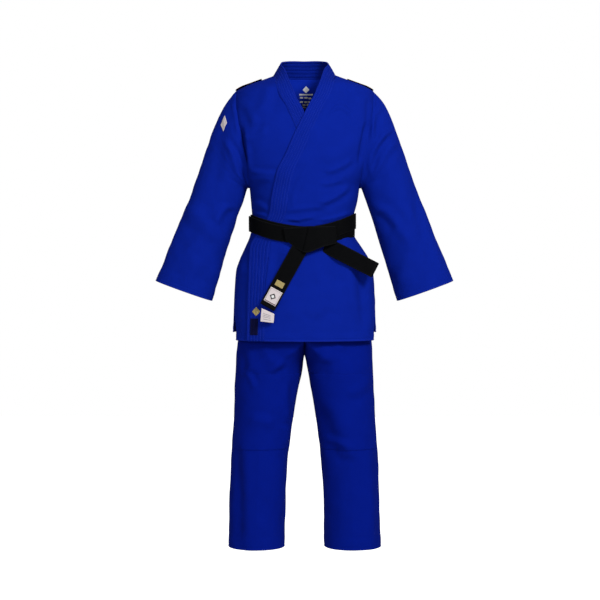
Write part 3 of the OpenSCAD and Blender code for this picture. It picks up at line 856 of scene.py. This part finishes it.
def sleeve(name, side, rows, seed):
    """Sleeve from the armhole to the cuff with its facing."""
    base, share, t = sleeve_grid()
    x, z = side * base[..., 0], base[..., 2]
    facing = turn(t)[1] * 1.6
    down = np.where(share > 0, share * TUBE_LENGTH, share * HEAD_LENGTH)
    round_mm = np.where(t > 180, t - 360, t) / 360 * SLEEVE_ROUND
    fold = folds(x, z, rows) * smooth(-facing) + folds(x * 0.98, z + 12, rows) * smooth(facing) * 0.8
    fold = fold + 1.1 * ripple(round_mm, down, 110, seed) + 0.35 * ripple(round_mm, down, 42, seed + 1)
    fold = fold * smooth((share + 1) / 0.10) * (1 - 0.65 * smooth((share - 0.82) / 0.18))
    # the cuff's facing and, at the other end, the armhole seam
    up = (1 - share) * TUBE_LENGTH
    relief = 0.8 * (1 - smooth((up - 37) / 3)) - 0.7 * groove(up, [4.5, 12, 35.5], 1.4)
    from_seam = down + HEAD_LENGTH
    relief = relief + 0.5 * (1 - smooth((from_seam - 10) / 3)) - 0.5 * groove(from_seam, [5.5], 1.3)
    wear = 0.5 * np.exp(-(up / 2.2) ** 2)
    base, fold = mirrored(side, base, fold)
    return cloth(name, base, CLOTH_T, JACKET_CLOTH, relief, fold, closed=True, wear=wear)


def sample(grid, r, c):
    """Bilinear point of a grid at fractional rows and columns."""
    r = np.clip(r, 0, grid.shape[0] - 1.001)
    c = np.clip(c, 0, grid.shape[1] - 1.001)
    i, j = r.astype(int), c.astype(int)
    u, v = (r - i)[..., None], (c - j)[..., None]
    return ((1 - u) * (1 - v) * grid[i, j] + u * (1 - v) * grid[i + 1, j]
            + (1 - u) * v * grid[i, j + 1] + u * v * grid[i + 1, j + 1])


def overlay(name, under_piece, centre, size, lift, thick, material, relief=0, spin=0.0, steps=(26, 22)):
    """A patch sewn on another piece's outer face, near centre. size = (along its columns, along its rows)
    in mm, spin in degrees."""
    grid = FACES[under_piece]
    gap = np.linalg.norm(grid - np.array(centre, float), axis=-1)
    i, j = np.unravel_index(np.argmin(gap), gap.shape)
    per_row = np.linalg.norm(grid[min(i + 3, len(grid) - 1), j] - grid[i - 3, j]) / 6
    per_col = np.linalg.norm(grid[i, (j + 3) % grid.shape[1]] - grid[i, j - 3]) / 6
    a = np.linspace(-0.5, 0.5, steps[0])[:, None] * size[1]
    b = np.linspace(-0.5, 0.5, steps[1])[None] * size[0]
    c, s = turn(spin)
    base = sample(grid, i + (a * c - b * s) / per_row, j + (a * s + b * c) / per_col)
    return cloth(name, base + normals(base, False) * lift, thick, material, relief)


# ---- belt
BELT_ROWS = (0.09, 0.2, 0.31, 0.42, 0.53, 0.64, 0.75, 0.86, 0.95)    # shares of the belt's width
WAIST_HALF = 143           # the tied waist: half width, reach to the back and to the front
WAIST_BACK = 97
WAIST_FRONT = 102
WAIST_RIGHT = 6            # and how far it sits towards the wearer's right


def wrap_point(t, up, mid_z, tilt, dip, side_off, front_off):
    """Points of one turn of the belt: up above its middle line, which tilts and dips in front."""
    t, up = grids(t, up)
    c, s = turn(t)
    reach = np.abs(s) ** ROUNDNESS
    z = mid_z + tilt * c - np.where(s < 0, dip * s * s, 0) + up
    y = 3 + np.where(s >= 0, WAIST_BACK + side_off, -(WAIST_FRONT + front_off)) * reach
    return np.stack([(WAIST_HALF + side_off) * c - WAIST_RIGHT, y, z], -1)


def belt_relief(k, along):
    """Lengthwise rows of sewing, each pulled down between its stitches."""
    pull = 0.72 + 0.28 * np.cos(along * 2 * math.pi / 4.6)
    return -0.42 * groove(k, BELT_ROWS, 0.018) * pull


def belt_ring(name, mid_z, tilt, dip, side_off, front_off, seed):
    """One turn of the belt round the waist."""
    k = np.linspace(0, 1, 44)[:, None]
    t = all_round(300)[None]
    up = BELT_W / 2 - BELT_W * k
    base = wrap_point(t, up, mid_z, tilt, dip, side_off, front_off)
    along = t * 2.6
    fold = 0.7 * ripple(along, up, 160, seed) + 0.25 * ripple(along, up, 60, seed + 1)
    fold = fold + 0.9 * np.cos(2 * math.pi * t / 360 * 3 + seed) * (k - 0.5)
    return cloth(name, base, BELT_T - 0.4, BELT_CLOTH, belt_relief(k, along), fold, closed=True,
                 wear=0.5 * both_edges(k, 0.025))


def strap(name, pairs, thick, material, rows, cols, sewn, fold):
    """A flat strap from (upper edge, lower edge) pairs that run from -X to +X across the front."""
    stations = through(pairs, cols)
    k = np.linspace(0, 1, rows)[:, None]
    base = stations[None, :, 0] * (1 - k)[..., None] + stations[None, :, 1] * k[..., None]
    first, last = np.mean(np.array([pairs[0], pairs[-1]], float), 1)
    length = np.linalg.norm(last - first)
    dents = belt_relief(k, np.linspace(0, 1, cols)[None] * length) if sewn else 0
    return cloth(name, base, thick, material, dents, fold, wear=0.5 * both_edges(k, 0.03))


# Each hanging end: its start, and its directions down and across
LONG_START = np.array([-11, -126, -449.0])
LONG_TURN = math.radians(29)
LONG_DOWN = np.array([-math.sin(LONG_TURN), -0.017, -math.cos(LONG_TURN)])
LONG_ACROSS = np.array([math.cos(LONG_TURN), 0, -math.sin(LONG_TURN)])
SHORT_START = np.array([98, -122, -464.0])
SHORT_TURN = math.radians(63)
SHORT_DOWN = np.array([math.sin(SHORT_TURN), 0.07, -math.cos(SHORT_TURN)])
SHORT_ACROSS = -np.array([math.cos(SHORT_TURN), 0, math.sin(SHORT_TURN)])
TAIL_T = 3.4               # thickness of the belt's ends


def end_point(start, down, across, a, w, back):
    """Point a mm down an end and w mm across it, moved back from its flat plane."""
    a, w = grids(a, w)
    p = start + a[..., None] * down + w[..., None] * across
    p[..., 1] = p[..., 1] + back
    return p


def long_point(a, w, off=0.0):
    """Point of the long end's back face (off = distance in front of it)."""
    back = 3.6 + 3.6 * smooth((16 - a) / 30) - 1.4 * np.sin(np.clip(a, 0, 200) / 190 * 2 * math.pi)
    return end_point(LONG_START, LONG_DOWN, LONG_ACROSS, a, w, back + 1.6 * (w / 21) ** 2 - off)


def short_point(a, w):
    back = 3.6 + 13 * (1 - smooth((a + 44) / 56)) + 1.4 * np.sin(a / 60)
    return end_point(SHORT_START, SHORT_DOWN, SHORT_ACROSS, a, w, back)


def tail(name, point, low, high):
    """A hanging end of the belt from low to high mm down it, sewn across near its tip."""
    a = np.linspace(low, high, int((high - low) / 2.2))[:, None]
    w = np.linspace(-BELT_W / 2, BELT_W / 2, 40)[None]
    k = (w + BELT_W / 2) / BELT_W
    end = 0.8 * np.exp(-((high - 5 - a) / 1.6) ** 2)
    relief = belt_relief(k, a) * smooth((high - 6 - a) / 2) - 0.4 * end
    return cloth(name, point(a, w), TAIL_T, BELT_CLOTH, relief, 0.2 * ripple(a, w, 40, 7),
                 wear=0.5 * both_edges(k, 0.03) + end * 0.5)


def end_label(low, high, half):
    """The label sewn on the long end, from low to high mm down it."""
    a = np.linspace(low, high, 34)[:, None]
    w = np.linspace(-half, half, 30)[None]
    mark = diamond_mark((a - low) / (high - low), w / half)
    return cloth("belt_end_label", long_point(a, w, TAIL_T + 0.1), 0.7, LABEL_CLOTH, mark)


def diamond_mark(v, w):
    """Plain ornament: a raised diamond with a bar above and below. v = 0..1 down, w = -1..1 across."""
    ring = np.abs(w * 0.9) + np.abs(v - 0.5) * 2.4
    bars = groove(v, [0.08, 0.92], 0.035) * (np.abs(w) < 0.75)
    return 0.45 * np.exp(-((ring - 0.62) / 0.12) ** 2) + 0.35 * bars


MARK = diamond_mark(np.linspace(0, 1, 26)[:, None], np.linspace(-1, 1, 22)[None])    # an overlay's relief


# ---- trousers
def hip_point(z, t, off):
    """Hips at height z and angle t, off mm out from their shape."""
    z, t, off = grids(z, t, off)
    c, s = turn(t)
    return np.stack([(HIP_F[1](z) + off) * c, 2 + (HIP_F[2](z) + off) * s, z], -1)


FORK_Z = -692.0
CLOSED_INNER = -5.2        # brings the two legs together near the fork


def leg_point(z, t, off):
    """Left leg at height z and angle t (0 = outer side): half the hip ring above the fork, then its own."""
    z, t, off = grids(z, t, off)
    above = smooth((z - FORK_Z) / 2)
    outer = LEG_F[1](z) * (1 - above) + HIP_F[1](z) * above
    deep = LEG_F[3](z) * (1 - above) + HIP_F[2](z) * above
    inner = LEG_F[2](z) + CLOSED_INNER * smooth((z + 775) / 40)
    mid, half = (outer + inner) / 2, (outer - inner) / 2
    k = smooth((FORK_Z - z) / 108)
    c, s = turn(t)
    flat = np.where(c >= 0, inner - off + (outer - inner + 2 * off) * c, inner - off)
    own = mid + (half + off) * c
    return np.stack([flat * (1 - k) + own * k, 2 + (deep + off) * s, z], -1)


SEAT_LOW = -672.0          # lower edge of the seat, inside the tops of the legs


def trouser_seat():
    """Gathered waistband casing, and the hips below it with a seam in front and behind."""
    zs = falling((-300, 1.8), (-350, 5), (-640, 3), (SEAT_LOW, 1))
    t = all_round(168)[None]
    z = zs[:, None]
    base = hip_point(z, t, -0.4)
    band = smooth((z + 343) / 2)
    gather = np.sin(np.radians(t) * 46 + 1.6 * np.sin(np.radians(t) * 5))
    relief = 1.3 * band + (0.5 + 0.5 * gather) * 0.8 * smooth((z + 340) / 3)
    relief = relief - 0.6 * groove(z, [-304, -338], 1.3)
    below = smooth((-342 - z) / 10)
    relief = relief - 0.5 * groove(np.abs(base[..., 0]), [4], 1.2) * below
    fold = 1.4 * gather * below * (1 - smooth((-350 - z) / 120))
    fold = (fold + 0.9 * ripple(base[..., 0], z, 120, 61) * below) * smooth((z - SEAT_LOW) / 20)
    return cloth("trouser_seat", base, LEG_T, TROUSER_CLOTH, relief, fold, closed=True)


PATCH_TOP = -802.0         # the knee's second layer
PATCH_LOW = -1021.0
PATCH_SIDES = (197, 345)   # its side edges, degrees round the leg
LEG_ROUND = 520.0          # once round a leg
LEG_MM = 1.35              # mm for each degree of it


def leg(name, side, rows, seed):
    """One leg from the fork to its turned-up hem, and its knee patch."""
    zs = falling((-662, 3), (-700, 3.6), (-1256, 2.6), (-1290, 1.3), (LEG_HEM, 1))
    cols = 132
    t = all_round(cols)[None]
    z = zs[:, None]
    base = leg_point(z, t, -2.6 - 0.9 * smooth((z + 690) / 10))
    x = side * base[..., 0]
    facing = turn(t)[1] * 1.5
    behind = smooth(facing)
    fold = folds(x, z, rows) * smooth(-facing) + folds(x, z + 30, rows) * behind * 0.8
    # soft break behind the knee
    fold = fold + 2.2 * behind * (np.exp(-((z + 915) / 13) ** 2) - 0.7 * np.exp(-((z + 940) / 12) ** 2))
    round_mm = np.where(t > 180, t - 360, t) / 360 * LEG_ROUND
    fold = fold + 1.2 * ripple(round_mm, z, 170, seed) + 0.45 * ripple(round_mm, z, 60, seed + 1)
    calm = smooth((-668 - z) / 40)
    inner_wall = smooth((200 - np.abs(t - 180) * 8) / 200) * smooth((z + 800) / 60)
    fold = fold * calm * (1 - 0.9 * inner_wall)
    up = z - LEG_HEM
    relief = 0.9 * (1 - smooth((up - 30) / 2.5)) - 0.6 * groove(up, [6, 27.5], 1.4)
    # felled side seam and inner seam
    for seam_t in (2, 176):
        away = np.abs((t - seam_t + 180) % 360 - 180) * LEG_MM
        relief = relief + 0.8 * (1 - smooth((away - 6) / 2)) - 0.5 * groove(away, [5], 1.0)
    relief = relief * smooth((-690 - z) / 10)
    whole = mirrored(side, base, relief, fold)
    piece = cloth(name, whole[0], LEG_T, TROUSER_CLOTH, whole[1], whole[2], closed=True,
                  wear=0.5 * np.exp(-(up / 2.0) ** 2))
    # second layer over the front of the knee
    keep = (zs <= PATCH_TOP) & (zs >= PATCH_LOW)
    low, high = [int(round(t / 360 * cols)) for t in PATCH_SIDES]
    window = np.ix_(keep, np.arange(low, high + 1))
    edge = np.minimum(PATCH_TOP - zs[keep], zs[keep] - PATCH_LOW)[:, None]
    border = -0.55 * groove(edge, [5.5, 12], 1.2)
    pucker = 0.45 * np.sin(x[window] / 3.6) * np.exp(-(edge / 10) ** 2)
    cut, pucker, bend = mirrored(side, base[window], pucker, fold[window])
    cut = cut + normals(cut, False) * (LEG_T + 0.2)
    patch = cloth(name.replace("leg", "knee_patch"), cut, 1.0, TROUSER_CLOTH, border + pucker, bend)
    return piece, patch


def put(obj, slot, *nodes, on=None):
    """Slot (not used), replaced nodes and, for a piece that doesn't bend, the body that it rides."""
    if nodes:
        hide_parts(*nodes)
    if on:
        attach(obj, on)


over = front_panel("jacket_front_over", "over", FRONT_FOLDS + SKIRT_FOLDS)
under = front_panel("jacket_front_under", "under", UNDER_FOLDS + SKIRT_FOLDS)
back = back_panel()
band, band_sewing = collar_band()
put(over, "jacket_cloth", "front_panel_left", "skirt_front_left")
put(under, "jacket_cloth", "front_panel_right", "skirt_front_right")
put(back, "jacket_cloth", "back_yoke", "back_panel", "skirt_back")
put(band, "lapel_cloth", "collar", "lapel_left", "lapel_right", "lapel_lower_left")
put(band_sewing, "lapel_cloth")
for piece in (over, under, band, band_sewing):
    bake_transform(piece)
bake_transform(back)

sleeve_l = sleeve("sleeve_of_left_arm", 1, LEFT_SLEEVE_FOLDS, 31)
sleeve_r = sleeve("sleeve_of_right_arm", -1, RIGHT_SLEEVE_FOLDS, 41)
put(sleeve_l, "jacket_cloth", "sleeve_head_left", "sleeve_left", "cuff_left")
put(sleeve_r, "jacket_cloth", "sleeve_head_right", "sleeve_right", "cuff_right")
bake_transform(sleeve_l)
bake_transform(sleeve_r)

# the slanted fold where the belt crosses itself
KNOT_K = np.linspace(0, 1, 40)[:, None]
KNOT_ALONG = np.linspace(0, 1, 120)[None]
KNOT_EDGE = KNOT_ALONG - 0.50 + 0.16 * KNOT_K
KNOT_FOLD = (2.6 * smooth(KNOT_EDGE / 0.03 + 0.5) * smooth((0.9 - KNOT_ALONG) / 0.3)
             - 1.3 * np.exp(-(KNOT_EDGE / 0.02) ** 2))
inner_wrap = belt_ring("belt_wrap_inner", -388, -10, 26, 2.2, 11.4, 2)
outer_wrap = belt_ring("belt_wrap_outer", -378, 4, 38, 6.4, 16.0, 5)
knot = strap("belt_knot_block", [
    ((-58, -114.5, -397), (-52, -114, -430)), ((-40, -118, -397), (-36, -117, -441)),
    ((-20, -123, -396), (-16, -123, -456)), ((-4, -126.5, -394), (5, -127, -464)),
    ((16, -127.5, -393), (26, -127, -458)), ((36, -127, -393), (48, -126, -449)),
    ((58, -122, -393), (70, -119.5, -443)), ((84, -114, -392), (88, -112, -438))],
    5.4, BELT_CLOTH, rows=40, cols=120, sewn=True, fold=KNOT_FOLD)
put(inner_wrap, "belt_cotton", "belt_inner_wrap", on="jacket")
put(outer_wrap, "belt_cotton", "belt_outer_wrap", on="jacket")
put(knot, "belt_cotton", "belt_knot", on="jacket")

long_tail = tail("belt_end_long", long_point, -14, 190)
short_tail = tail("belt_end_short", short_point, -44, 110)
mark = overlay("belt_end_mark", "belt_end_long", long_point(119, 0, TAIL_T), (24, 16), 0.1, 0.6, GOLD_THREAD,
               MARK)
label = end_label(136, 178, 18)
care_tag = strap("belt_end_care_tag", [
    ((-119, -127, -619), (-122, -128.5, -655)), ((-101, -127.5, -627), (-104, -129.5, -657)),
    ((-84, -127, -635), (-86, -128.5, -659))], 0.6, LABEL_CLOTH, rows=24, cols=30, sewn=False, fold=0)
put(long_tail, "belt_cotton", "belt_long_tail")
put(short_tail, "belt_cotton", "belt_short_tail")
put(mark, "mark_gold", "belt_mark", on="long_tail")
put(label, "label_white", "belt_label", on="long_tail")
put(care_tag, "label_white", "belt_care_tag", on="long_tail")
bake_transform(long_tail)
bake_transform(short_tail)

seat = trouser_seat()
put(seat, "trouser_cloth", "waistband", "seat_left", "seat_right", on="trousers")
for name, side, rows, seed in (("left", 1, LEG_FOLDS, 71), ("right", -1, OTHER_LEG_FOLDS, 81)):
    tube, patch = leg("leg_of_" + name + "_side", side, rows, seed)
    put(tube, "trouser_cloth", "thigh_" + name, "knee_" + name, "lower_leg_" + name, "leg_hem_" + name)
    put(patch, "trouser_cloth", "knee_patch_" + name)
    for piece in (tube, patch):
        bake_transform(piece)


# ---- sewn-on marks and labels, all plain ornament
def shoulder_tape(name, side):
    """Tape over the shoulder with three raised stripes and a row of thread near each side edge."""
    along = np.linspace(24, -6, 40)[None]
    across = np.linspace(-13, 13, 22)[:, None]
    t = np.degrees(np.arcsin((np.abs(across) / 84) ** (1 / ROUNDNESS)))
    t = np.where(across < 0, 360 - t, t)
    base = mirrored(side, torso_point(along, t, 6.1))[0][::-1]
    piece = cloth(name, base, 1.3, BELT_CLOTH, 0.4 * groove(across, [-9, 0, 9], 1.6))
    n = normals(base, False)
    lines = [(base[k] + n[k] * 1.5, n[k]) for k in (2, 19)]
    return piece, stitches(name + "_sewing", lines, ROSE_THREAD, length=2.6, gap=1.0, radius=0.45, lift=0.1)


for name, side in (("left", 1), ("right", -1)):
    tape, tape_sewing = shoulder_tape("shoulder_tape_on_" + name, side)
    put(tape, "belt_cotton", "shoulder_tape_" + name, on="jacket")
    put(tape_sewing, "belt_cotton", on="jacket")

sleeve_badge = overlay("sleeve_badge", "sleeve_of_right_arm", (-246, -62, -94), (26, 28), 0.2, 0.5,
                       LABEL_CLOTH, MARK)
put(sleeve_badge, "mark_gold", "sleeve_patch")
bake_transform(sleeve_badge)

hem_badge = overlay("hem_badge", "collar_and_lapels", (-141, -112, -629), (18, 18), 0.2, 0.6,
                    GOLD_THREAD, MARK, spin=45)
hem_tag = overlay("hem_tag", "collar_and_lapels", (-146, -112, -670), (46, 24), 0.2, 0.6, DARK_LABEL)
put(hem_badge, "mark_gold", "hem_mark", on="front_skirt")
put(hem_tag, "label_dark", "hem_label", on="front_skirt")


def label_line(name, a, w, size, material, spin=0.0, lift=0.05):
    """Thin woven line or motif on the belt's label, a mm down the belt end and w mm across it."""
    line = overlay(name, "belt_end_label", long_point(a, w, TAIL_T + 0.8), size, lift, 0.15, material,
                   spin=spin, steps=(12, 10))
    put(line, "label_dark", on="long_tail")
    return line


label_details = [
    label_line("belt_end_label_top", 138.6, 0, (34, 1.7), MAROON_THREAD),
    label_line("belt_end_label_bottom", 175.4, 0, (34, 1.7), MAROON_THREAD),
    label_line("belt_end_label_side_a", 157, 15.6, (1.7, 38), MAROON_THREAD),
    label_line("belt_end_label_side_b", 157, -15.6, (1.7, 38), MAROON_THREAD),
    label_line("belt_end_label_motif", 157, 0, (13, 13), BLACK_THREAD, 45),
    label_line("belt_end_label_centre", 157, 0, (7, 7), WHITE_THREAD, 45, 0.25)]
for k in range(4):
    line = overlay("care_tag_line_%d" % k, "belt_end_care_tag", (-104.5, -130, -636.5 - 4.4 * k),
                   (22, 1.2), 0.05, 0.15, GREY_THREAD, steps=(8, 20))
    put(line, "label_dark", on="long_tail")
    label_details.append(line)


def neck_lining():
    """Smooth lining of the yoke that hangs behind the neck opening; its cloth is a lighter blue, which
    paints light into the shaded inside of the neck.
    """
    z = np.linspace(37, -66, 60)[:, None]
    x = np.linspace(-84, 84, 90)[None]
    y = 77.5 + 13 * smooth((30 - z) / 110) - 0.0043 * x ** 2 - 3 * smooth((np.abs(x) - 60) / 40)
    base = np.stack(np.broadcast_arrays(x, y, z), -1)
    hem = -0.4 * groove(z, [30, 25], 1.2)
    return cloth("neck_lining", base, 1.0, LINING_CLOTH_WITH_PAINTED_LIGHT, hem, 0.5 * ripple(x, z, 50, 91))


lining = neck_lining()
put(lining, "jacket_cloth", "neck_label", on="jacket")
# plain diamond and rows of plain bars: (z, width of the row, height of its bars, number of bars)
PRINT_ROWS = ((9, 14, 14, 1), (-5, 40, 4.0, 1), (-15, 34, 4.6, 3), (-26, 34, 4.6, 3), (-36, 20, 4.2, 2),
              (-44, 16, 3.4, 2))
PRINT_X = 4                # middle of the print, which hangs a little off the neck's middle
for k, (z, wide, tall, count) in enumerate(PRINT_ROWS):
    for m in range(count):
        middle = PRINT_X + (m - (count - 1) / 2) * wide / count
        size = (wide / count * (0.82 if count > 1 else 1.0), tall)
        bar = overlay("neck_print_%d_%d" % (k, m), "neck_lining", (middle, 78, z), size, 0.15, 0.2,
                      WHITE_THREAD, spin=45 if k == 0 else 0)
        put(bar, "label_white", on="jacket")

# ---- small parts kept from the CAD
for name, material in (("drawcord_eyelets", EYELET_METAL), ("drawcord_loop", CORD_CLOTH)):
    node = bpy.data.objects[name]
    node.data.materials.clear()
    node.data.materials.append(material)
